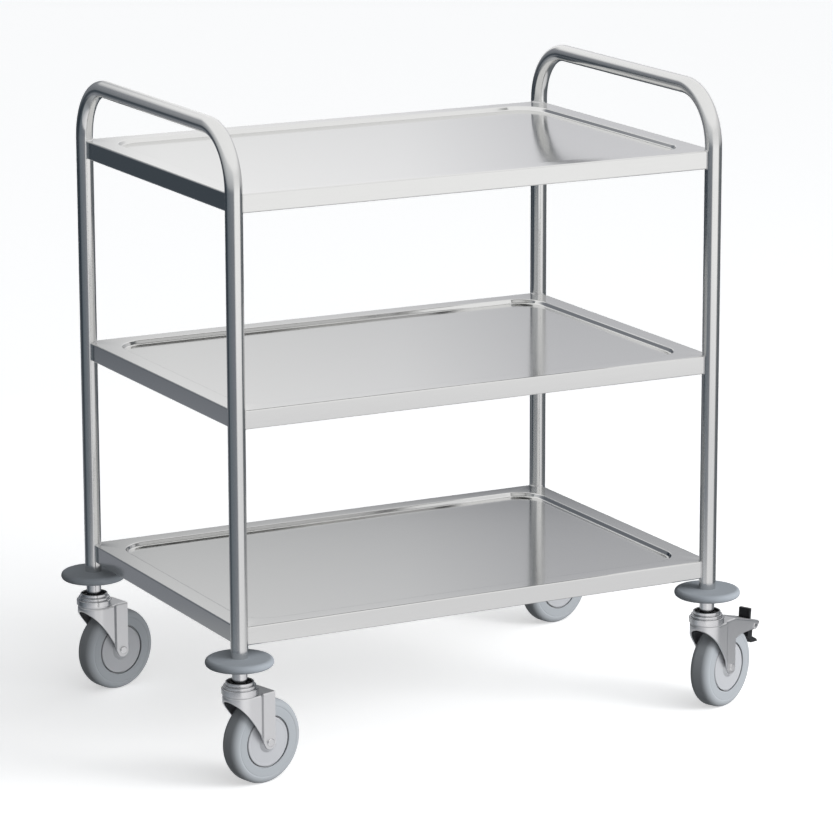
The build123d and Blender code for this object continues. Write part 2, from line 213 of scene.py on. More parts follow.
class TrolleyStudio(bpy.types.PropertyGroup):
    """Camera and studio"""
    camera_place: FloatVectorProperty(name="Camera place", description="Where the camera stands",
                                      default=(-2.7792, -5.3316, 1.8621), subtype="TRANSLATION",
                                      unit="LENGTH")
    turn: FloatProperty(name="Turn", description="Camera's turn from looking along +Y",
                        default=-0.4802, subtype="ANGLE", unit="ROTATION")
    pitch: FloatProperty(name="Pitch", description="How far the camera looks down",
                         default=0.2325, subtype="ANGLE", unit="ROTATION")
    roll: FloatProperty(name="Roll", description="Camera's roll",
                        default=-0.0023, subtype="ANGLE", unit="ROTATION")
    lens: FloatProperty(name="Lens", description="Focal length on a 36 mm sensor", default=178.74)
    tent_radius: FloatProperty(name="Reflector radius", description="Radius of the ring of reflectors",
                               default=2.2, unit="LENGTH")
    smoothness: IntProperty(name="Round steps", description="Steps in a full turn of a round piece",
                            default=96, min=24, max=256)


def sizes(group):
    """One group of the trolley's settings, by its scene property."""
    return getattr(bpy.context.scene, group)


# ---- Modelling tools ----

def clear_selection():
    """Leave edit mode and deselect everything, so that an operator acts on one piece only."""
    if bpy.context.object and bpy.context.object.mode != "OBJECT":
        bpy.ops.object.mode_set(mode="OBJECT")
    bpy.ops.object.select_all(action="DESELECT")


def begin(add, name, **settings):
    """Add a primitive, name it and open it for editing with nothing selected."""
    clear_selection()
    add(**settings)
    piece = titled(bpy.context.active_object, name)
    bpy.ops.object.transform_apply(location=True, rotation=True, scale=True)
    bpy.ops.object.mode_set(mode="EDIT")
    bpy.ops.mesh.select_all(action="DESELECT")
    return piece


def only(piece):
    """Make a piece the one selected, active object."""
    clear_selection()
    piece.select_set(True)
    bpy.context.view_layer.objects.active = piece


def pick(piece, kind, test):
    """Select the vertices, edges or faces whose middle (and direction) pass a test."""
    bpy.ops.mesh.select_all(action="DESELECT")
    bpy.ops.mesh.select_mode(type={"verts": "VERT", "edges": "EDGE", "faces": "FACE"}[kind])
    mesh = bmesh.from_edit_mesh(piece.data)
    for part in getattr(mesh, kind):
        if kind == "verts":
            part.select_set(test(part.co))
        elif kind == "edges":
            a, b = part.verts[0].co, part.verts[1].co
            part.select_set(test((a + b) / 2, b - a))
        else:
            part.select_set(test(part.calc_center_median(), part.normal))
    mesh.select_flush_mode()
    bmesh.update_edit_mesh(piece.data)


def select_all():
    bpy.ops.mesh.select_all(action="SELECT")


def edit(piece):
    """Open a piece's mesh."""
    only(piece)
    bpy.ops.object.mode_set(mode="EDIT")


def leave():
    """Close the open mesh."""
    bpy.ops.object.mode_set(mode="OBJECT")


def extrude(offset):
    """Extrude what is selected in the open mesh."""
    bpy.ops.mesh.extrude_region_move(TRANSFORM_OT_translate={"value": offset})


def titled(piece, name):
    """Name a piece and its mesh."""
    piece.name = name
    piece.data.name = name
    return piece


def apply_modifier(piece, kind, **settings):
    """Add one modifier and apply it at once."""
    only(piece)
    modifier = piece.modifiers.new(kind.lower(), kind)
    for name, value in settings.items():
        setattr(modifier, name, value)
    bpy.ops.object.modifier_apply(modifier=modifier.name)


def cut(piece, cutter, operation="DIFFERENCE"):
    """Combine a piece with a cutter, which is then removed."""
    apply_modifier(piece, "BOOLEAN", operation=operation, object=cutter, solver="EXACT")
    bpy.data.objects.remove(cutter)


def soften(piece, width, angle=math.radians(35), segments=3):
    """Round every edge sharper than an angle, and keep the flats flat."""
    only(piece)
    bpy.ops.object.shade_smooth()
    if width:
        apply_modifier(piece, "BEVEL", width=width, segments=segments, limit_method="ANGLE",
                       angle_limit=angle, use_clamp_overlap=True)
    apply_modifier(piece, "WEIGHTED_NORMAL", mode="FACE_AREA", weight=50, keep_sharp=True)


def draw(name, points, close=True):
    """Draw an outline through points by extruding one vertex; left open for editing."""
    piece = begin(bpy.ops.mesh.primitive_plane_add, name, size=MM)
    bpy.ops.mesh.select_mode(type="VERT")
    select_all()
    bpy.ops.mesh.merge(type="CENTER")
    points = [Vector(p) for p in points]
    bpy.ops.transform.translate(value=points[0])
    for here, there in zip(points, points[1:]):
        extrude(there - here)
    if close:
        ends = (points[0], points[-1])
        pick(piece, "verts", lambda p: min((p - end).length for end in ends) < HAIR)
        bpy.ops.mesh.edge_face_add()
    return piece


def outward(reach=1e-6):
    """Merge what lies within reach in the open mesh, face everything outwards and close it."""
    select_all()
    bpy.ops.mesh.remove_doubles(threshold=reach)
    bpy.ops.mesh.normals_make_consistent(inside=False)
    leave()


def face_up(piece, reach=1e-6):
    """Merge and face an open sheet so that its largest level face looks up."""
    edit(piece)
    outward(reach)
    top = max(piece.data.polygons, key=lambda face: face.area * abs(face.normal.z))
    if top.normal.z < 0:
        edit(piece)
        select_all()
        bpy.ops.mesh.flip_normals()
        leave()


def turn(name, outline):
    """Turn a (radius, height) outline about Z, as on a lathe. It is closed, unless it starts and
    ends on the axis."""
    on_axis = outline[0][0] < HAIR and outline[-1][0] < HAIR
    piece = draw(name, [(r, 0, z) for r, z in outline], close=not on_axis)
    select_all()
    bpy.ops.mesh.spin(steps=sizes("trolley_studio").smoothness, angle=2 * math.pi, center=(0, 0, 0),
                      axis=(0, 0, 1), use_auto_merge=True)
    outward()
    return piece


def slab(name, outline, half_width):
    """An (along, up) outline in the XZ plane, extruded to both sides of it."""
    piece = draw(name, [(x, -half_width, z) for x, z in outline])
    select_all()
    bpy.ops.mesh.edge_face_add()
    extrude((0, 2 * half_width, 0))
    outward()
    return piece


def bar(name, radius, low, high, sides=64):
    """A plain bar about Z between two heights, for a hole or a blank."""
    begin(bpy.ops.mesh.primitive_cylinder_add, name, vertices=sides, radius=radius, depth=high - low,
          location=(0, 0, (low + high) / 2))
    leave()
    return bpy.context.active_object


def arc(centre_r, centre_z, radius, start, end, steps):
    """Points of a round stretch of an outline, angles in degrees from +radius towards +height."""
    turns = [math.radians(start + (end - start) * i / steps) for i in range(steps + 1)]
    return [(centre_r + radius * math.cos(t), centre_z + radius * math.sin(t)) for t in turns]


def move(piece, matrix):
    """Place a piece and put that place into its mesh."""
    only(piece)
    piece.matrix_world = matrix @ piece.matrix_world
    bpy.ops.object.transform_apply(location=True, rotation=True, scale=True)


def copy_of(piece, name, matrix):
    """A copy with its own mesh, moved to a new place."""
    only(piece)
    bpy.ops.object.duplicate(linked=False)
    twin = titled(bpy.context.active_object, name)
    move(twin, matrix)
    return twin


def joined(pieces, name):
    """Several shells as one piece."""
    only(pieces[0])
    for piece in pieces[1:]:
        piece.select_set(True)
    bpy.ops.object.join()
    return titled(bpy.context.active_object, name)


def discard(piece):
    bpy.data.objects.remove(piece)


def hand_over(piece, body, slot, finish, *nodes):
    """Give a finished piece its material and its body, and hide the CAD nodes that it stands for. The slot
    is not used.
    """
    piece.data.materials.clear()
    piece.data.materials.append(finish)
    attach(piece, body)
    if nodes:
        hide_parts(*nodes)


# ---- Materials ----

def linear(colour):
    """An sRGB hex colour as linear RGBA."""
    channels = [int(colour[i:i + 2], 16) / 255 for i in (1, 3, 5)]
    return [c / 12.92 if c <= 0.04045 else ((c + 0.055) / 1.055) ** 2.4 for c in channels] + [1.0]


def add_node(tree, kind, inputs=None, **settings):
    """Add one node, set its properties and fill its sockets with values or other nodes' outputs."""
    node = tree.nodes.new(kind)
    for name, value in settings.items():
        setattr(node, name, value)
    fill(tree, node, inputs or {})
    return node


def fill(tree, node, inputs):
    """Fill a node's sockets, each with a value or with another node's output."""
    for socket, value in inputs.items():
        if isinstance(value, bpy.types.NodeSocket):
            tree.links.new(value, node.inputs[socket])
        else:
            node.inputs[socket].default_value = value


def mixed(tree, factor, low, high):
    """One colour fading into another."""
    node = add_node(tree, "ShaderNodeMix", data_type="RGBA")
    fill(tree, node, {"Factor": factor, "A": low, "B": high})
    return node.outputs["Result"]


def new_material(name):
    """An empty node material with a Principled shader; returns it, its tree and the shader."""
    material = bpy.data.materials.new(name)
    material.use_nodes = True
    tree = material.node_tree
    tree.nodes.clear()
    shader = add_node(tree, "ShaderNodeBsdfPrincipled")
    add_node(tree, "ShaderNodeOutputMaterial", {"Surface": shader.outputs["BSDF"]})
    return material, tree, shader


def spread(tree, value, low, high):
    """A pattern's value, which mostly lies from 0.3 to 0.7, mapped onto a range."""
    return add_node(tree, "ShaderNodeMapRange",
                    {"Value": value, "From Min": 0.3, "From Max": 0.7, "To Min": low, "To Max": high})


def pattern(tree, size, stretch=(1, 1, 1), detail=2):
    """Noise whose features are a real size across, drawn out along some axes."""
    place = add_node(tree, "ShaderNodeTexCoord")
    scaled = add_node(tree, "ShaderNodeMapping",
                      {"Vector": place.outputs["Object"], "Scale": [1 / s for s in stretch]})
    return add_node(tree, "ShaderNodeTexNoise",
                    {"Vector": scaled.outputs["Vector"], "Scale": 1 / size, "Detail": detail})


def tinted(tree, value, colour, shift):
    """A colour that drifts a little lighter and darker with a pattern."""
    base = linear(colour)
    dark = [c * (1 - shift) for c in base[:3]] + [1]
    light = [min(1, c * (1 + shift)) for c in base[:3]] + [1]
    return mixed(tree, value, dark, light)


def steel(name, colour, grain, stretch, roughness, bump):
    """Stainless steel with a fine directional polish. The grain gives a soft, slightly streaked
    reflection; slow waves in the sheet keep long reflections from looking drawn with a ruler."""
    material, tree, shader = new_material(name)
    polish = pattern(tree, grain, stretch, detail=3)
    waves = pattern(tree, 90 * MM)
    shade = tinted(tree, polish.outputs["Fac"], colour, 0.025)
    rough = spread(tree, polish.outputs["Fac"], roughness * 0.88, roughness * 1.12)
    wavy = add_node(tree, "ShaderNodeBump", {"Height": waves.outputs["Fac"], "Strength": 0.15,
                                            "Distance": 0.25 * MM})
    grained = add_node(tree, "ShaderNodeBump", {"Height": polish.outputs["Fac"], "Strength": bump,
                                                "Distance": 0.01 * MM,
                                                "Normal": wavy.outputs["Normal"]})
    fill(tree, shader, {"Metallic": 1.0, "Base Color": shade, "Roughness": rough.outputs["Result"],
                        "Normal": grained.outputs["Normal"]})
    return material


def moulded(name, colour, roughness, texture, depth, drift=0.06):
    """Moulded rubber or plastic: a fine spark-eroded texture from the mould and a slow drift in
    tone. Rubber is matt with a wide soft sheen; plastic is a little glossier."""
    material, tree, shader = new_material(name)
    grain = pattern(tree, texture, detail=4)
    cloud = pattern(tree, 18 * MM, detail=3)
    shade = tinted(tree, cloud.outputs["Fac"], colour, drift)
    rough = spread(tree, grain.outputs["Fac"], roughness * 0.9, roughness * 1.1)
    bump = add_node(tree, "ShaderNodeBump", {"Height": grain.outputs["Fac"], "Strength": 0.5,
                                            "Distance": depth})
    fill(tree, shader, {"IOR": 1.5, "Base Color": shade, "Roughness": rough.outputs["Result"],
                        "Normal": bump.outputs["Normal"]})
    return material


def finish(name):
    """A named finish, made the first time it is asked for."""
    made = bpy.data.materials.get(name)
    if made:
        return made
    colours = sizes("trolley_finishes")
    makers = {
        # Longitudinally polished tube: grain a millimetre wide and long along the tube.
        "polished_stainless_tube": lambda: steel(
            name, colours.stainless, 1.2 * MM, (1, 1, 30), 0.17, 0.05),
        # Cold-rolled sheet, finely ground along the shelf.
        "ground_stainless_sheet": lambda: steel(
            name, colours.stainless, 1.0 * MM, (40, 1, 1), 0.12, 0.05),
        # Weld left as laid, wiped with a brush.
        "brushed_weld": lambda: steel(name, colours.pressed_steel, 2 * MM, (1, 1, 1), 0.35, 0.2),
        # Pressed and barrel-polished steel of the castors: brighter, with no grain direction.
        "pressed_bright_steel": lambda: steel(name, colours.pressed_steel, 3 * MM, (1, 1, 1), 0.36, 0.06),
        # Turned steel: rings too fine to show, so only a smooth bright polish.
        "turned_steel": lambda: steel(name, colours.pressed_steel, 1.5 * MM, (1, 1, 1), 0.18, 0.04),
        # Natural rubber filled grey: matt, faintly mottled.
        "bumper_rubber": lambda: moulded(name, colours.bumper, 0.55, 0.9 * MM, 0.05 * MM),
        "tyre_rubber": lambda: moulded(name, colours.tyre, 0.6, 0.8 * MM, 0.05 * MM),
        # Glass-filled polyamide: satin, nearly even in tone.
        "moulded_polyamide": lambda: moulded(name, colours.wheel, 0.42, 0.7 * MM, 0.02 * MM, drift=0.03),
        "black_polyamide": lambda: moulded(name, colours.pedal, 0.38, 0.7 * MM, 0.03 * MM),
        "black_rubber": lambda: moulded(name, colours.seal, 0.5, 0.6 * MM, 0.03 * MM),
    }
    return makers[name]()


# ---- CAD nodes that no piece stands for ----

NODE_FINISHES = {
    "end_frame": "polished_stainless_tube",
    "shelf": "ground_stainless_sheet",
    "dust_seals": "black_rubber",
    "bumper": "bumper_rubber",
    "race_cup": "pressed_bright_steel",
    "fork": "pressed_bright_steel",
    "brake_housing": "pressed_bright_steel",
    "thread_guards": "moulded_polyamide",
    "wheel_rim": "moulded_polyamide",
    "tyre": "tyre_rubber",
    "brake_pedal": "black_polyamide",
}


class TROLLEY_OT_node_finishes(bpy.types.Operator):
    """Give every CAD node its real material; pins, bolts, balls and sleeves are turned steel"""
    bl_idname = "trolley.node_finishes"
    bl_label = "Node finishes"

    def execute(self, context):
        for name, node in frame["nodes"].items():
            named = (kind for ending, kind in NODE_FINISHES.items() if name.endswith(ending))
            node.data.materials.clear()
            node.data.materials.append(finish(next(named, "turned_steel")))
        return {"FINISHED"}


# ---- Frame ----

class TROLLEY_OT_end_frames(bpy.types.Operator):
    """Bend the two tube end frames"""
    bl_idname = "trolley.end_frames"
    bl_label = "End frames"

    def execute(self, context):
        tube = sizes("trolley_tube")
        radius = tube.diameter / 2
        for side in SIDES:
            node = f"{side}_end_frame"
            low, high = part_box(node)
            x = (low.x + high.x) / 2
            front_y = low.y + radius
            rear_y = high.y - radius
            bend_z = high.z - radius - tube.bend
            piece = begin(bpy.ops.mesh.primitive_circle_add, node + "_tube", vertices=64, radius=radius,
                          location=(x, front_y, low.z))
            select_all()
            extrude((0, 0, bend_z - low.z))
            quarter = math.radians(90)
            bpy.ops.mesh.spin(steps=32, angle=quarter, axis=(1, 0, 0),
                              center=(x, front_y + tube.bend, bend_z))
            reach = rear_y - front_y - 2 * tube.bend
            extrude((0, reach, 0))
            bpy.ops.mesh.spin(steps=32, angle=quarter, axis=(1, 0, 0),
                              center=(x, rear_y - tube.bend, bend_z))
            extrude((0, 0, low.z - bend_z))
            outward()
            apply_modifier(piece, "SOLIDIFY", thickness=tube.wall, offset=-1)
            only(piece)
            bpy.ops.object.shade_smooth_by_angle(angle=math.radians(40))
            hand_over(piece, "trolley_frame", "satin_stainless", finish("polished_stainless_tube"), node)
        return {"FINISHED"}


def bend(radius, start, end, steps):
    """Moves (along, down) that follow a bend, its direction turning from start to end in degrees."""
    angles = [math.radians(start + (end - start) * i / steps) for i in range(steps + 1)]
    sign = 1 if end > start else -1
    places = [(sign * radius * math.sin(a), -sign * radius * math.cos(a)) for a in angles]
    return [(b[0] - a[0], b[1] - a[1]) for a, b in zip(places, places[1:])]


def outer_edges(post, low, high):
    """Which way is outwards at a post, along X and Y, and where the shelf's edges are there."""
    middle = (low + high) / 2
    sx = 1 if post.x > middle.x else -1
    sy = 1 if post.y > middle.y else -1
    return sx, sy, high.x if sx > 0 else low.x, high.y if sy > 0 else low.y


def shelf_outline(low, high, inset, notch_r):
    """The flat top's outline from above, going inwards round each of the four posts."""
    points = []
    for corner in ("front_left", "front_right", "rear_right", "rear_left"):
        post = swivel_point(corner)
        sx, sy, side_x, side_y = outer_edges(post, low, high)
        edge_x = side_x - sx * inset
        edge_y = side_y - sy * inset
        on_side = math.asin((edge_x - post.x) * sx / notch_r)
        on_front = math.asin((edge_y - post.y) * sy / notch_r)
        turns = [-on_side + (math.pi / 2 + on_side + on_front) * i / 20 for i in range(21)]
        round_post = [post + Vector((-sx * notch_r * math.sin(t), -sy * notch_r * math.cos(t), high.z))
                      for t in turns]
        points += round_post if sx * sy > 0 else reversed(round_post)
    return points


def shelf_sheet(name, low, high):
    """One tray shelf: a tray pressed into a flat border, and four fascias folded down from it,
    each with a return lip. An open sheet, before it gets its thickness."""
    shelf = sizes("trolley_shelf")
    middle = (low + high) / 2
    wall = 90 - math.degrees(shelf.slope)
    round_depth = (shelf.fold + shelf.cove) * (1 - math.cos(math.radians(wall)))
    straight = (shelf.depth - round_depth) / math.sin(math.radians(wall))
    tray = begin(bpy.ops.mesh.primitive_plane_add, name, size=1,
                 location=(middle.x, middle.y, high.z))
    select_all()
    across_x = high.x - low.x - 2 * shelf.border
    across_y = high.y - low.y - 2 * shelf.border
    bpy.ops.transform.resize(value=(across_x, across_y, 1), center_override=(middle.x, middle.y, high.z))
    bpy.ops.mesh.bevel(offset=shelf.corner, segments=16, affect="VERTICES", profile=0.5)
    pick(tray, "faces", lambda p, n: True)
    steps = bend(shelf.fold, 0, wall, 4)
    steps += [(straight * math.cos(math.radians(wall)), straight * math.sin(math.radians(wall)))]
    steps += bend(shelf.cove, wall, 0, 5)
    for along, down in steps:
        bpy.ops.mesh.inset(thickness=along, depth=-down, use_even_offset=True)
    leave()
    notch_r = sizes("trolley_tube").diameter / 2 + shelf.notch_gap
    outline = draw("outline", shelf_outline(low, high, shelf.fold, notch_r))
    piece = joined([tray, outline], name)
    edit(piece)
    pick(piece, "edges", lambda p, d: abs(p.z - high.z) < HAIR)
    bpy.ops.mesh.fill()
    fascia = high.z - low.z - 2 * shelf.fold
    profile = bend(shelf.fold, 0, 90, 5) + [(0, fascia)] + bend(shelf.fold, 90, 180, 5)
    profile += [(-(shelf.lip - shelf.fold), 0)]
    for out in (Vector((1, 0, 0)), Vector((-1, 0, 0)), Vector((0, 1, 0)), Vector((0, -1, 0))):
        reach = (high if max(out) > 0 else low).dot(Vector(map(abs, out))) - sum(out) * shelf.fold
        across = Vector(map(abs, out))
        pick(piece, "edges", lambda p, d: abs(p.dot(across) - reach) < HAIR and abs(d.dot(across)) < HAIR
             and abs(p.z - high.z) < HAIR)
        for along, down in profile:
            extrude(out * along + Vector((0, 0, -down)))
    face_up(piece, HAIR)
    return piece


class TROLLEY_OT_shelves(bpy.types.Operator):
    """Press, fold and notch the three tray shelves"""
    bl_idname = "trolley.shelves"
    bl_label = "Shelves"

    def execute(self, context):
        shelf = sizes("trolley_shelf")
        for level in LEVELS:
            node = f"{level}_shelf"
            piece = shelf_sheet(node + "_tray", *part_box(node))
            apply_modifier(piece, "SOLIDIFY", thickness=shelf.sheet, offset=-1, use_even_offset=True)
            soften(piece, 0)
            hand_over(piece, "trolley_frame", "satin_stainless", finish("ground_stainless_sheet"), node)
        return {"FINISHED"}


class TROLLEY_OT_weld_beads(bpy.types.Operator):
    """Lay the weld beads where the shelves meet the posts"""
    bl_idname = "trolley.weld_beads"
    bl_label = "Weld beads"

    def execute(self, context):
        tube = sizes("trolley_tube")
        for level in LEVELS:
            low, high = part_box(f"{level}_shelf")
            beads = []
            for corner in CORNERS:
                post = swivel_point(corner)
                beads += corner_beads(post, low, high, tube.diameter / 2, tube.bead, tube.ripple)
            piece = joined(beads, f"{level}_shelf_welds")
            only(piece)
            bpy.ops.object.shade_smooth()
            hand_over(piece, "trolley_frame", "satin_stainless", finish("brushed_weld"))
        return {"FINISHED"}


def corner_beads(post, low, high, radius, bead_r, ripple):
    """The rippled bead round one post: an arc on the shelf's border, and one down each fascia's
    end."""
    sx, sy, side_x, side_y = outer_edges(post, low, high)
    over_x = abs(side_x - post.x)
    over_y = abs(side_y - post.y)
    long_end = Vector((-sx * math.sqrt(radius ** 2 - over_y ** 2), sy * over_y, 0))
    cross_end = Vector((sx * over_x, -sy * math.sqrt(radius ** 2 - over_x ** 2), 0))
    beads = []
    for end in (long_end, cross_end):
        foot = post + end
        piece = begin(bpy.ops.mesh.primitive_cylinder_add, "bead", vertices=10, radius=bead_r,
                      depth=high.z - low.z, location=(foot.x, foot.y, (low.z + high.z) / 2))
        pick(piece, "edges", lambda p, d: abs(d.z) > HAIR)
        rings = 2 * round((high.z - low.z) / ripple / 2)
        bpy.ops.mesh.subdivide(number_cuts=rings - 1)
        step = (high.z - low.z) / rings
        pick(piece, "verts", lambda p: round((p.z - low.z) / step) % 2 == 1)
        bpy.ops.transform.resize(value=(0.7, 0.7, 1), center_override=foot)
        leave()
        beads.append(piece)
    sweep = long_end.xy.angle_signed(cross_end.xy)
    piece = begin(bpy.ops.mesh.primitive_circle_add, "bead", vertices=10, radius=bead_r, fill_type="NGON",
                  location=(post.x + long_end.x, post.y + long_end.y, high.z),
                  rotation=(math.radians(90), 0, math.atan2(long_end.y, long_end.x)))
    rings = 2 * round(radius * abs(sweep) / ripple / 2)
    select_all()
    bpy.ops.mesh.spin(steps=rings, angle=sweep, center=(post.x, post.y, high.z), axis=(0, 0, 1))
    outward()
    edit(piece)
    start = long_end.xy
    centre = Vector((post.x, post.y, high.z))
    for ring in range(1, rings, 2):
        spoke = Vector((*start, 0)).normalized()
        spoke.rotate(Matrix.Rotation(-sweep * ring / rings, 3, "Z"))
        side = spoke.cross(Vector((0, 0, 1)))
        pick(piece, "verts", lambda p: abs((p - centre).dot(side)) < HAIR and (p - centre).dot(spoke) > 0)
        bpy.ops.transform.resize(value=(0.7, 0.7, 0.7), center_override=centre + spoke * radius)
    leave()
    beads.append(piece)
    return beads


# ---- Castors ----
# Each piece is made once in castor axes, with the swivel axis on Z and the wheel trailing towards
# +X. Then a copy is carried to every corner that has one.

def across(x, z):
    """From a shape turned about Z to one lying across the wheel, Z becoming +Y."""
    return Matrix.Translation((x, 0, z)) @ Matrix.Rotation(math.radians(-90), 4, "X")


def plate_height():
    """Top of the fork's plate, under its race boss."""
    return top_of("front_left_fork") - sizes("trolley_castor").boss


def leg_face():
    """From the wheel's middle plane to the outside of a fork leg."""
    castor = sizes("trolley_castor")
    return castor.tyre_width / 2 + castor.leg_gap + castor.sheet


def deliver(first, name, body, slot, material, node, corners=CORNERS):
    """Carry a copy of a castor piece to each corner, and remove the first."""
    for corner in corners:
        piece = copy_of(first, f"{corner}_{name}", castor_place(corner))
        hand_over(piece, body.format(corner), slot, finish(material), f"{corner}_{node}")
    discard(first)


def deliver_together(first, name, slot, material, node):
    """The same small fastening at all four posts, as one piece of the frame."""
    twins = [copy_of(first, name, castor_place(corner)) for corner in CORNERS]
    hand_over(joined(twins, name), "trolley_frame", slot, finish(material), node)
    discard(first)


class TROLLEY_OT_bumpers(bpy.types.Operator):
    """Mould the four wall bumpers"""
    bl_idname = "trolley.bumpers"
    bl_label = "Bumpers"

    def execute(self, context):
        castor = sizes("trolley_castor")
        low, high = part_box("front_left_bumper")
        bore = castor.sleeve / 2 + castor.fit
        edge_r = (high.z - low.z) / 2
        outline = [(bore, low.z)]
        outline += arc(castor.bumper / 2 - edge_r, (low.z + high.z) / 2, edge_r, -90, 90, 20)
        outline += [(bore, high.z)]
        first = turn("bumper", outline)
        soften(first, 0.4 * MM)
        deliver(first, "bumper_disc", "trolley_frame", "bumper_rubber", "bumper_rubber", "bumper")
        return {"FINISHED"}


class TROLLEY_OT_spacers(bpy.types.Operator):
    """Turn the four spacer sleeves and mould the near-black rings round them that fill the heads' mouths"""
    bl_idname = "trolley.spacers"
    bl_label = "Spacers and seals"

    def execute(self, context):
        castor = sizes("trolley_castor")
        outside = castor.sleeve / 2
        bore = castor.king_bolt / 2 + castor.fit
        low, high = foot_of("spacer_sleeves"), top_of("spacer_sleeves")
        first = turn("sleeve", [(bore, low), (outside, low), (outside, high), (bore, high)])
        soften(first, 0.3 * MM)
        deliver_together(first, "spacer_sleeves_turned", "castor_steel", "turned_steel", "spacer_sleeves")

        # A near-black ring fills the mouth of each head round the sleeve; it is the piece for the
        # dust_seals node.
        low, high = foot_of("dust_seals"), top_of("dust_seals")
        inner = outside + castor.fit
        outer = castor.head / 2 + HEAD_OVER - 2 * castor.cup_step - castor.cup_wall - castor.fit
        middle = (inner + outer) / 2
        ridge = (outer - inner) / 4
        outline = [(inner, low), (outer, low)]
        outline += arc(middle + ridge, high - 1 * MM - ridge, ridge, 0, 180, 8)
        outline += arc(inner + ridge, high - ridge, ridge, 0, 180, 8)
        first = turn("seal", outline)
        soften(first, 0)
        deliver_together(first, "dust_seals_moulded", "seal_rubber", "black_rubber", "dust_seals")
        return {"FINISHED"}


class TROLLEY_OT_castor_heads(bpy.types.Operator):
    """Press the four castor heads: three stacked rings, the top one open"""
    bl_idname = "trolley.castor_heads"
    bl_label = "Castor heads"

    def execute(self, context):
        castor = sizes("trolley_castor")
        low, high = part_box("front_left_race_cup")
        outer = high.x - (low.x + high.x) / 2
        rings = (outer, outer - castor.cup_step, outer - 2 * castor.cup_step)
        boss_z = top_of("front_left_fork")
        floor_z = foot_of("spacer_sleeves")
        ball_r = castor.head / 2 - TRACK_IN
        groove = castor.ball / 2 + RACE_GAP
        lean = math.degrees(math.asin(RACE_GAP / groove))
        pin_r = castor.king_pin / 2 + castor.fit
        skirt_r = castor.head / 2 + RACE_GAP + 0.2 * MM
        outline = [(pin_r, boss_z + 2 * RACE_GAP)]
        outline += arc(ball_r, boss_z + RACE_GAP, groove, 180 - lean, lean, 12)
        outline += [(skirt_r, boss_z + 2 * RACE_GAP), (skirt_r, low.z), (rings[0], low.z)]
        ring_tops = (floor_z - 2.5 * MM, floor_z + 2 * MM)
        round_r = 1.2 * MM
        cut_in = 0.8 * MM
        for ring_r, next_r, top in zip(rings, rings[1:], ring_tops):
            outline += arc(ring_r - round_r, top - round_r, round_r, 0, 90, 6)
            outline += [(next_r - cut_in, top), (next_r - cut_in, top + cut_in)]
            outline += [(next_r, top + 1.5 * cut_in)]
        wall = castor.cup_wall
        outline += arc(rings[2] - wall / 2, high.z - wall / 2, wall / 2, 0, 180, 12)
        outline += [(rings[2] - wall, floor_z), (pin_r, floor_z)]
        first = turn("castor_head", outline)
        soften(first, 0.2 * MM)
        deliver(first, "head_cup", "trolley_frame", "castor_steel", "turned_steel", "race_cup")
        return {"FINISHED"}


class TROLLEY_OT_forks(bpy.types.Operator):
    """Press the four forks from sheet"""
    bl_idname = "trolley.forks"
    bl_label = "Forks"

    def execute(self, context):
        castor = sizes("trolley_castor")
        plate_z = plate_height()
        low_z = AXLE_Z - castor.eye - 2 * MM
        rear = TRAIL + castor.tail
        first = draw("fork", [(x, y, plate_z) for x, y in fork_plan(rear)])
        select_all()
        bpy.ops.mesh.edge_face_add()
        extrude((0, 0, low_z - plate_z))
        pick(first, "faces", lambda p, n: p.z < low_z + HAIR or p.x > rear - HAIR)
        bpy.ops.mesh.delete(type="FACE")
        crease = TRAIL - castor.crease
        step = crease - castor.crease_length
        pick(first, "edges", lambda p, d: abs(d.z) > HAIR and step - HAIR < p.x < rear - HAIR)
        bpy.ops.mesh.bevel(offset=0.8 * MM, segments=4)
        pick(first, "edges", lambda p, d: p.z > plate_z - HAIR and p.x < rear - HAIR)
        bpy.ops.mesh.bevel(offset=castor.fold, segments=6)
        face_up(first)
        apply_modifier(first, "SOLIDIFY", thickness=castor.sheet, offset=-1, use_even_offset=True)

        front = Vector((-castor.head / 2 - 1 * MM, plate_z - castor.skirt))
        end = Vector((TRAIL - 0.96 * castor.eye, AXLE_Z - 0.3 * castor.eye))
        rake = end - front
        inwards = Vector((-rake.y, rake.x)).normalized() * castor.bow
        edge = [front + rake * t + inwards * 4 * t * (1 - t) for t in (i / 24 for i in range(25))]
        eye = arc(TRAIL, AXLE_Z, castor.eye, 197.5, 341.5, 24)
        ahead, behind = -60 * MM, 80 * MM
        waste = [(ahead, front.y)] + [tuple(p) for p in edge] + eye
        waste += [(behind, eye[-1][1]), (behind, 0), (ahead, 0)]
        cut(first, slab("waste", waste, THROUGH))
        cut(first, bar("hole", castor.king_pin / 2 + castor.fit, plate_z - 9 * MM, plate_z + 9 * MM))
        hole = bar("hole", castor.axle / 2 + castor.fit, -THROUGH, THROUGH)
        move(hole, across(TRAIL, AXLE_Z))
        cut(first, hole)
        first = joined([first, race_boss(plate_z)], "fork")
        soften(first, 0.3 * MM)
        deliver(first, "fork_pressed", "{}_swivel", "castor_steel", "pressed_bright_steel", "fork")
        return {"FINISHED"}


def fork_plan(rear):
    """The fork from above: from one leg's rear end, stepping out to the round front and back."""
    castor = sizes("trolley_castor")
    head = castor.head / 2
    crease = TRAIL - castor.crease
    half = [(rear, leg_face()), (crease, leg_face()), (crease - castor.crease_length, head)]
    half += arc(0, 0, head, 90, 180, 24)
    return half + [(x, -y) for x, y in reversed(half[:-1])]


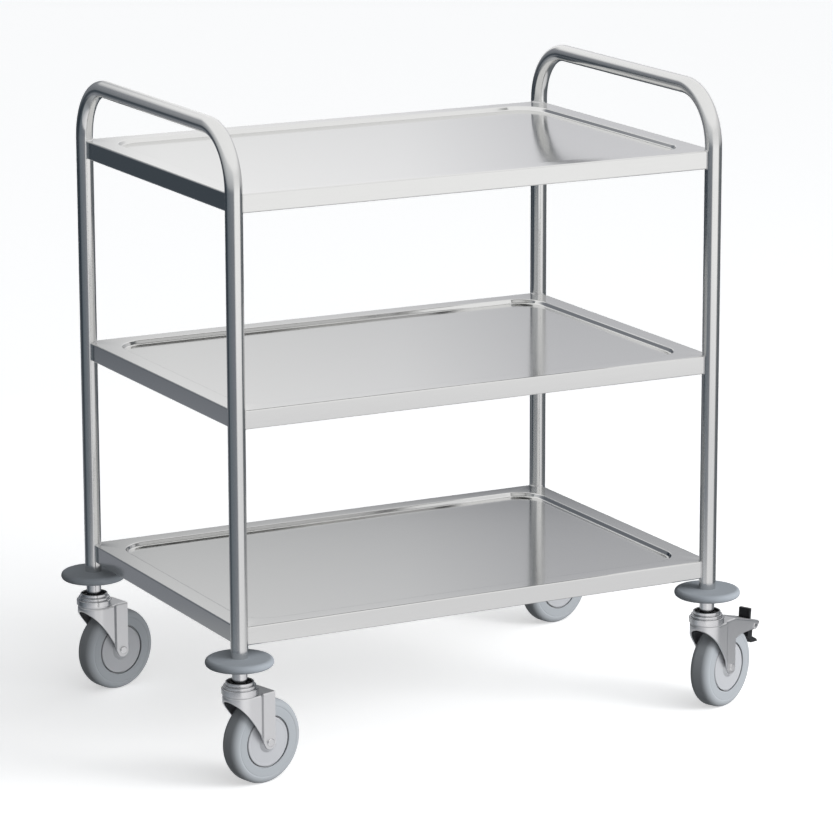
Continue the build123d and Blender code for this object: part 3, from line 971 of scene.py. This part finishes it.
def race_boss(plate_z):
    """The raised lower race on the fork's plate, with the balls' track in its top."""
    castor = sizes("trolley_castor")
    boss_z = plate_z + castor.boss
    bore = castor.king_pin / 2 + castor.fit
    head = castor.head / 2
    track = castor.ball / 2 + castor.fit
    lean = math.degrees(math.asin(RACE_GAP / track))
    sunk = plate_z - 0.5 * MM
    outline = [(bore, sunk), (head - castor.fold, sunk), (head, plate_z + 0.2 * MM), (head, boss_z)]
    outline += arc(head - TRACK_IN, boss_z + RACE_GAP, track, -lean, lean - 180, 12)
    outline += [(bore, boss_z)]
    return turn("race_boss", outline)


class TROLLEY_OT_wheels(bpy.types.Operator):
    """Mould the four wheels: rim, tyre and the two thread guards of each"""
    bl_idname = "trolley.wheels"
    bl_label = "Wheels"

    def execute(self, context):
        castor = sizes("trolley_castor")
        half = castor.tyre_width / 2
        opening = castor.tyre_side / 2
        tyre = turn("tyre", tyre_outline(half, opening))
        rim = turn("rim", rim_outline(half, opening))
        face = half - castor.guard_recess
        boss_face = half + castor.leg_gap
        back = face - castor.guard_sheet
        edge = castor.guard / 2
        bore = castor.axle / 2 + castor.fit
        outline = [(bore, back), (edge, back)]
        outline += arc(edge - 1.6 * MM, face - 1.6 * MM, 1.6 * MM, 0, 90, 8)
        groove = face - 0.25 * MM
        outline += [(edge - 4 * MM, face), (edge - 4.4 * MM, groove), (edge - 5.4 * MM, groove)]
        boss_foot, fillet = 16.5 * MM, 2 * MM
        outline += [(edge - 5.8 * MM, face), (boss_foot, face)]
        outline += arc(boss_foot, face + fillet, fillet, 270, 215, 5)
        outline += [(12 * MM, boss_face), (bore, boss_face)]
        guard = turn("guard", outline)
        other = copy_of(guard, "guard", Matrix.Rotation(math.pi, 4, "X"))
        guards = joined([guard, other], "guards")
        for piece, width in ((tyre, 0), (rim, 0.3 * MM), (guards, 0.2 * MM)):
            move(piece, across(TRAIL, AXLE_Z))
            soften(piece, width)
        deliver(tyre, "tyre_grey", "{}_wheel", "tyre_rubber", "tyre_rubber", "tyre")
        deliver(rim, "rim_moulded", "{}_wheel", "wheel_plastic", "moulded_polyamide", "wheel_rim")
        deliver(guards, "guard_discs", "{}_swivel", "wheel_plastic", "moulded_polyamide", "thread_guards")
        return {"FINISHED"}


def tyre_outline(half, opening):
    """The tyre's section: seat on the rim, rounded opening, a fine ring in the side, shoulders."""
    castor = sizes("trolley_castor")
    seat_half = half - 3 * MM + castor.fit
    seat_r = opening + 3.5 * MM + castor.fit
    groove = 0.5 * MM
    edge = 1 * MM
    ring_r = AXLE_Z - castor.shoulder - 1.2 * MM
    side = [(seat_r, -seat_half), (opening, -seat_half)]
    side += arc(opening + edge, -half + edge, edge, 180, 270, 6)
    side += [(ring_r - 1.2 * MM, -half), (ring_r - 0.6 * MM, -half + groove)]
    side += [(ring_r + 0.3 * MM, -half + groove)]
    side += arc(AXLE_Z - castor.shoulder, -half + castor.shoulder, castor.shoulder, -90, 0, 16)
    return side + [(r, -z) for r, z in reversed(side)]


def rim_outline(half, opening):
    """The rim's section: hub, thin web and the band that the tyre sits on."""
    castor = sizes("trolley_castor")
    seat_half = half - 3 * MM
    hub_half = half - castor.guard_recess - castor.guard_sheet - 0.6 * MM
    bore = castor.axle / 2 + 2 * MM + castor.fit
    hub = castor.axle / 2 + 10 * MM
    inner = opening - 1 * MM
    side = [(bore, hub_half), (hub, hub_half), (hub, 3.5 * MM), (inner - 1 * MM, 3.5 * MM)]
    side += [(inner, seat_half), (opening + 3.5 * MM, seat_half)]
    return side + [(r, -z) for r, z in reversed(side)]


class TROLLEY_OT_axles(bpy.types.Operator):
    """Turn the four axle bolts and cut their nuts"""
    bl_idname = "trolley.axles"
    bl_label = "Axles"

    def execute(self, context):
        castor = sizes("trolley_castor")
        shank = castor.axle / 2
        seat = leg_face()
        head = castor.axle_head / 2
        nut_end = seat + 0.8 * castor.axle
        end = nut_end + 2 * MM
        outline = [(0, -seat - 2.5 * MM)] + arc(head - 1.25 * MM, -seat - 1.25 * MM, 1.25 * MM, -90, 0, 8)
        outline += [(head, -seat), (shank, -seat)]
        pitch = 1.25 * MM
        for turn_of_thread in range(3):
            z = nut_end - 1.4 * MM + turn_of_thread * pitch
            outline += [(shank, z), (shank - 0.5 * MM, z + 0.45 * pitch), (shank, z + 0.9 * pitch)]
        outline += [(shank - 0.6 * MM, end), (0, end)]
        bolt = turn("bolt", outline)

        corner = (1.5 * castor.axle + 1 * MM) / math.sqrt(3)
        nut = bar("nut", corner, seat, nut_end, sides=6)
        barrel = turn("barrel", [(0, seat), (corner - 1.2 * MM, seat), (corner - 0.4 * MM, seat + 0.8 * MM),
                                 (corner - 0.4 * MM, nut_end - 0.8 * MM), (corner - 1.2 * MM, nut_end),
                                 (0, nut_end)])
        cut(nut, barrel, "INTERSECT")
        cut(nut, bar("hole", shank + castor.fit, seat - 1 * MM, nut_end + 1 * MM))
        for piece in (bolt, nut):
            move(piece, across(TRAIL, AXLE_Z))
            soften(piece, 0.15 * MM)
        deliver(bolt, "axle_turned", "{}_swivel", "castor_steel", "turned_steel", "axle_bolt")
        deliver(nut, "nut_cut", "{}_swivel", "castor_steel", "turned_steel", "axle_nut")
        return {"FINISHED"}


# ---- Foot brakes ----

def braked_corners():
    return [corner for corner in CORNERS if f"{corner}_brake_pedal" in frame["nodes"]]


def brake_pin_place():
    """The pedal's axis in castor axes: how far behind the swivel axis, and how high."""
    corner = braked_corners()[0]
    pin = Vector(joint(f"{corner}_brake_pedal_rock")["pos_m"])
    return (pin - swivel_point(corner)).xy.length, pin.z


class TROLLEY_OT_brake_housings(bpy.types.Operator):
    """Press the brake housings behind the forks, and rivet their pins"""
    bl_idname = "trolley.brake_housings"
    bl_label = "Brake housings"

    def execute(self, context):
        castor = sizes("trolley_castor")
        brake = sizes("trolley_brake")
        pin_x, pin_z = brake_pin_place()
        plate_z = plate_height()
        front = TRAIL + castor.tail
        rear = pin_x + brake.past_pin
        low = plate_z - brake.cheek
        outline = [(front, plate_z), (rear, plate_z - brake.fall), (rear, plate_z - brake.fall - 3 * MM)]
        outline += [(pin_x + brake.past_pin / 2, low), (front + 14 * MM, low), (front, low - 4 * MM)]
        housing = slab("housing", outline, leg_face())
        edit(housing)
        pick(housing, "faces", lambda p, n: abs(n.y) < 0.5 and n.z < 0.5)
        bpy.ops.mesh.delete(type="FACE")
        roof = low + 0.6 * brake.cheek
        pick(housing, "edges", lambda p, d: abs(d.y) < HAIR and d.length > 30 * MM and p.z > roof)
        bpy.ops.mesh.bevel(offset=castor.fold, segments=6)
        face_up(housing)
        apply_modifier(housing, "SOLIDIFY", thickness=castor.sheet, offset=-1, use_even_offset=True)
        slot = begin(bpy.ops.mesh.primitive_cube_add, "slot", size=1,
                     location=(pin_x - brake.boss + 20 * MM, 0, pin_z + 20 * MM),
                     scale=(40 * MM, 2 * brake.tab + 4 * MM, 40 * MM))
        cut(housing, slot)
        radius = brake.pin / 2
        hole = bar("hole", radius + castor.fit, -THROUGH, THROUGH)
        move(hole, across(pin_x, pin_z))
        cut(housing, hole)
        soften(housing, 0.3 * MM)

        seat = leg_face()
        rise = 1.5 * MM
        round_r = 1 * MM
        outline = [(0, -seat - rise)]
        outline += arc(radius + rise - round_r, -seat - rise + round_r, round_r, -90, 0, 6)
        outline += [(radius + rise, -seat), (radius, -seat)]
        outline += [(r, -z) for r, z in reversed(outline)]
        pin = turn("pin", outline)
        move(pin, across(pin_x, pin_z))
        soften(pin, 0.1 * MM)
        corners = braked_corners()
        deliver(housing, "brake_cover", "{}_swivel", "castor_steel", "pressed_bright_steel",
                "brake_housing", corners)
        deliver(pin, "brake_rivet", "{}_swivel", "castor_steel", "turned_steel", "brake_pin", corners)
        return {"FINISHED"}


class TROLLEY_OT_brake_pedals(bpy.types.Operator):
    """Mould the brake pedals: tab above the pin, pad and foot lip below"""
    bl_idname = "trolley.brake_pedals"
    bl_label = "Brake pedals"

    def execute(self, context):
        castor = sizes("trolley_castor")
        brake = sizes("trolley_brake")
        pin_x, pin_z = brake_pin_place()
        rise = plate_height() - pin_z
        boss = bar("pedal", brake.boss, -leg_face() + castor.sheet + 0.5 * MM,
                   leg_face() - castor.sheet - 0.5 * MM)
        move(boss, across(0, 0))
        arm = slab("arm", [(-brake.boss, 0), (brake.boss, 0), (brake.blade - 4 * MM, -brake.drop + 7 * MM),
                           (brake.lip - 1 * MM, -brake.drop - 2 * MM), (brake.lip, -brake.drop - 6 * MM),
                           (-brake.boss, -brake.drop - 1 * MM), (-2 * brake.boss, -brake.drop)], brake.pad)
        tread = bar("tread", AXLE_Z + brake.pad_gap, -THROUGH, THROUGH, sides=180)
        move(tread, across(TRAIL - pin_x, AXLE_Z - pin_z))
        cut(arm, tread)
        move(arm, Matrix.Rotation(-brake.travel, 4, "Y"))
        tab = slab("tab", [(0, 0), (brake.blade, 0), (brake.lean + brake.blade, rise), (brake.lean, rise)],
                   brake.tab)
        cut(boss, arm, "UNION")
        cut(boss, tab, "UNION")
        hole = bar("hole", brake.pin / 2 + castor.fit, -THROUGH, THROUGH)
        move(hole, across(0, 0))
        cut(boss, hole)
        soften(boss, 0.5 * MM)
        move(boss, Matrix.Translation((pin_x, 0, pin_z)))
        deliver(boss, "pedal_moulded", "{}_brake", "pedal_plastic", "black_polyamide", "brake_pedal",
                braked_corners())
        return {"FINISHED"}


# ---- Studio ----

class TROLLEY_OT_studio(bpy.types.Operator):
    """Lay the floor, hang the lights and reflectors, and set up the camera"""
    bl_idname = "trolley.studio"
    bl_label = "Studio"

    def execute(self, context):
        studio = sizes("trolley_studio")
        clear_selection()
        bpy.ops.mesh.primitive_plane_add(size=60)
        # Matt white paint.
        floor = prop("studio_floor", studio_white("matt_white_floor", 0.5), "glossy", "diffuse")

        clear_selection()
        bpy.ops.mesh.primitive_cylinder_add(vertices=64, radius=28, depth=24, end_fill_type="NOTHING",
                                            location=(0, 0, 12))
        # White paper, more evenly lit than the floor.
        backdrop = prop("studio_backdrop", studio_white("white_backdrop_paper", 0.9), "glossy", "diffuse",
                        "shadow")

        clear_selection()
        bpy.ops.mesh.primitive_cylinder_add(vertices=128, radius=studio.tent_radius, depth=6,
                                            end_fill_type="NGON", location=(0, 0, 0))
        tent = prop("studio_reflectors", reflector_cards(), "camera", "diffuse", "shadow", "transmission")

        world = bpy.data.worlds.new("studio_air")
        context.scene.world = world
        world.use_nodes = True
        studio_air(world.node_tree)
        softbox("key_softbox", (2.4, -3.0, 1.6), 1.6, 80)
        context.scene.view_settings.view_transform = "Standard"

        data = bpy.data.cameras.new("camera")
        data.lens = studio.lens
        data.sensor_width = 36
        camera = bpy.data.objects.new("camera", data)
        context.scene.collection.objects.link(camera)
        aim = Matrix.Rotation(studio.turn, 4, "Z") @ Matrix.Rotation(math.pi / 2 - studio.pitch, 4, "X")
        aim = aim @ Matrix.Rotation(studio.roll, 4, "Z")
        camera.matrix_world = Matrix.Translation(studio.camera_place) @ aim
        context.scene.camera = camera
        return {"FINISHED"}


def prop(name, material, *unseen_by):
    """Name the studio object just added, give it its material and hide it from some kinds of ray."""
    thing = bpy.context.active_object
    thing.name = name
    thing.data.materials.append(material)
    for rays in unseen_by:
        setattr(thing, f"visible_{rays}", False)
    return thing


def softbox(name, place, size, power):
    """One square softbox aimed at the middle of the trolley. Shiny surfaces see the cards
    instead of it."""
    light = bpy.data.lights.new(name, "AREA")
    light.size = size
    light.energy = power
    lamp = bpy.data.objects.new(name, light)
    bpy.context.scene.collection.objects.link(lamp)
    middle = (cad_box[0] + cad_box[1]) / 2
    lamp.location = place
    lamp.visible_glossy = False
    lamp.rotation_euler = (middle - Vector(place)).to_track_quat("-Z", "Y").to_euler()


def studio_air(tree):
    """Soft light from all round, strongest from the front right and above."""
    tree.nodes.clear()
    place = add_node(tree, "ShaderNodeTexCoord")
    towards = Vector((0.5, -0.75, 0.3)).normalized()
    facing = add_node(tree, "ShaderNodeVectorMath", {0: place.outputs["Generated"], 1: towards},
                      operation="DOT_PRODUCT")
    strength = add_node(tree, "ShaderNodeMapRange", {"Value": facing.outputs["Value"], "From Min": 0.0,
                                                    "From Max": 1.0, "To Min": 0.05, "To Max": 1.45},
                        interpolation_type="SMOOTHSTEP")
    air = add_node(tree, "ShaderNodeBackground", {"Color": (0.96, 0.98, 1, 1),
                                                 "Strength": strength.outputs["Result"]})
    add_node(tree, "ShaderNodeOutputWorld", {"Surface": air.outputs["Background"]})


def studio_white(name, glow):
    """Matt white paint or paper, glowing a little so that it stays pale."""
    material, tree, shader = new_material(name)
    fill(tree, shader, {"Base Color": linear(sizes("trolley_finishes").floor), "Roughness": 0.9,
                        "Emission Color": (1, 1, 1, 1), "Emission Strength": glow})
    return material


def ramp(tree, value, low, high, stops):
    """Grey to white colours laid out along a value, from (place, red, green, blue) stops."""
    share = add_node(tree, "ShaderNodeMapRange", {"Value": value, "From Min": low, "From Max": high})
    node = add_node(tree, "ShaderNodeValToRGB", {"Fac": share.outputs["Result"]})
    while len(node.color_ramp.elements) < len(stops):
        node.color_ramp.elements.new(0.5)
    for element, (place, r, g, b) in zip(node.color_ramp.elements, stops):
        element.position = (place - low) / (high - low)
        element.color = (r, g, b, 1)
    return node.outputs["Color"]


def reflector_cards():
    """White and black cards in a ring, seen only in reflections: a bright card at the front
    right, grey at the front left, black behind on the left. Above them the room is open and
    white, and the low part stands for the pale floor."""
    material = bpy.data.materials.new("studio_cards")
    material.use_nodes = True
    tree = material.node_tree
    tree.nodes.clear()
    place = add_node(tree, "ShaderNodeTexCoord")
    axes = add_node(tree, "ShaderNodeSeparateXYZ", {"Vector": place.outputs["Object"]})
    height = axes.outputs["Z"]
    turned = add_node(tree, "ShaderNodeMath", {0: axes.outputs["Y"], 1: axes.outputs["X"]},
                      operation="ARCTAN2")
    angle = add_node(tree, "ShaderNodeMath", {0: turned.outputs["Value"]}, operation="DEGREES")
    angle = angle.outputs["Value"]
    cards = ramp(tree, angle, -180, 180, (
        (-180, 0.12, 0.14, 0.16), (-122, 0.17, 0.18, 0.20), (-112, 0.84, 0.84, 0.84),
        (-46, 0.84, 0.84, 0.84), (-36, 0.12, 0.13, 0.14), (40, 0.09, 0.10, 0.11),
        (62, 0.018, 0.026, 0.036), (100, 0.018, 0.026, 0.036), (108, 0.045, 0.055, 0.066),
        (128, 0.045, 0.055, 0.066), (136, 0.018, 0.026, 0.036), (155, 0.020, 0.030, 0.040),
        (172, 0.11, 0.13, 0.15),
    ))
    low_cards = ramp(tree, angle, -180, 180, (
        (-180, 0.12, 0.14, 0.16), (-122, 0.17, 0.18, 0.20), (-112, 0.68, 0.68, 0.69),
        (-46, 0.66, 0.66, 0.67), (-36, 0.12, 0.13, 0.14), (40, 0.08, 0.09, 0.10),
        (62, 0.03, 0.04, 0.05), (100, 0.03, 0.04, 0.05), (108, 0.18, 0.19, 0.21),
        (128, 0.18, 0.19, 0.21), (136, 0.04, 0.05, 0.06), (155, 0.04, 0.05, 0.06),
        (172, 0.12, 0.14, 0.16),
    ))
    floor_light = ramp(tree, angle, -180, 180, (
        (-180, 0.45, 0.46, 0.48), (-130, 0.70, 0.70, 0.71), (-100, 0.80, 0.80, 0.80),
        (-50, 0.62, 0.62, 0.63), (-12, 0.55, 0.55, 0.56), (8, 0.12, 0.13, 0.14),
        (45, 0.12, 0.13, 0.14), (80, 0.40, 0.41, 0.42), (110, 0.34, 0.35, 0.36),
        (140, 0.20, 0.21, 0.22), (170, 0.32, 0.34, 0.36),
    ))
    open_room = ramp(tree, angle, -180, 180, (
        (-180, 0.55, 0.56, 0.57), (-125, 0.55, 0.56, 0.57), (-100, 0.70, 0.70, 0.70),
        (30, 0.60, 0.60, 0.61), (55, 0.62, 0.62, 0.64), (63, 0.79, 0.79, 0.80),
        (77, 0.84, 0.84, 0.84), (86, 0.20, 0.21, 0.23), (122, 0.20, 0.21, 0.23),
        (145, 0.50, 0.51, 0.52),
    ))
    rises = ((0.62, 0), (0.74, 0.52), (1.06, 0.74), (1.36, 0.96), (1.6, 1))
    sky = ramp(tree, height, -1, 2, [(z, share, share, share) for z, share in rises])
    overhead = ramp(tree, height, 1, 3, ((1.55, 0, 0, 0), (2.0, 1, 1, 1)))
    room = mixed(tree, overhead, open_room, (0.80, 0.80, 0.80, 1))
    lift = ramp(tree, height, -1, 2, ((0, 0, 0, 0), (0.36, 1, 1, 1)))
    off_floor = ramp(tree, height, -1, 2, ((-0.44, 0, 0, 0), (-0.36, 1, 1, 1)))
    lower = mixed(tree, off_floor, floor_light, mixed(tree, lift, low_cards, cards))
    glow = add_node(tree, "ShaderNodeEmission", {
        "Color": mixed(tree, sky, lower, room), "Strength": 1.3})
    add_node(tree, "ShaderNodeOutputMaterial", {"Surface": glow.outputs["Emission"]})
    return material


class TROLLEY_PT_panel(bpy.types.Panel):
    """The trolley's build steps and settings"""
    bl_idname = "TROLLEY_PT_panel"
    bl_label = "Food service trolley"
    bl_space_type = "VIEW_3D"
    bl_region_type = "UI"
    bl_category = "Trolley"

    def draw(self, context):
        for operator in OPERATORS:
            self.layout.operator(operator.bl_idname)
        for group, kind in GROUPS.items():
            box = self.layout.box()
            box.label(text=kind.__doc__)
            for name in kind.__annotations__:
                box.prop(getattr(context.scene, group), name)


GROUPS = {
    "trolley_tube": TrolleyTubeSizes,
    "trolley_shelf": TrolleyShelfSizes,
    "trolley_castor": TrolleyCastorSizes,
    "trolley_brake": TrolleyBrakeSizes,
    "trolley_finishes": TrolleyFinishes,
    "trolley_studio": TrolleyStudio,
}
OPERATORS = (
    TROLLEY_OT_node_finishes,
    TROLLEY_OT_end_frames,
    TROLLEY_OT_shelves,
    TROLLEY_OT_weld_beads,
    TROLLEY_OT_bumpers,
    TROLLEY_OT_spacers,
    TROLLEY_OT_castor_heads,
    TROLLEY_OT_forks,
    TROLLEY_OT_wheels,
    TROLLEY_OT_axles,
    TROLLEY_OT_brake_housings,
    TROLLEY_OT_brake_pedals,
    TROLLEY_OT_studio,
)


def register():
    for group, kind in GROUPS.items():
        bpy.utils.register_class(kind)
        setattr(bpy.types.Scene, group, PointerProperty(type=kind))
    for operator in OPERATORS:
        bpy.utils.register_class(operator)
    bpy.utils.register_class(TROLLEY_PT_panel)


def unregister():
    bpy.utils.unregister_class(TROLLEY_PT_panel)
    for operator in reversed(OPERATORS):
        bpy.utils.unregister_class(operator)
    for group, kind in reversed(GROUPS.items()):
        delattr(bpy.types.Scene, group)
        bpy.utils.unregister_class(kind)


def main():
    register()
    for operator in OPERATORS:
        space, name = operator.bl_idname.split(".")
        getattr(getattr(bpy.ops, space), name)()


if __name__ == "__main__":
    main()
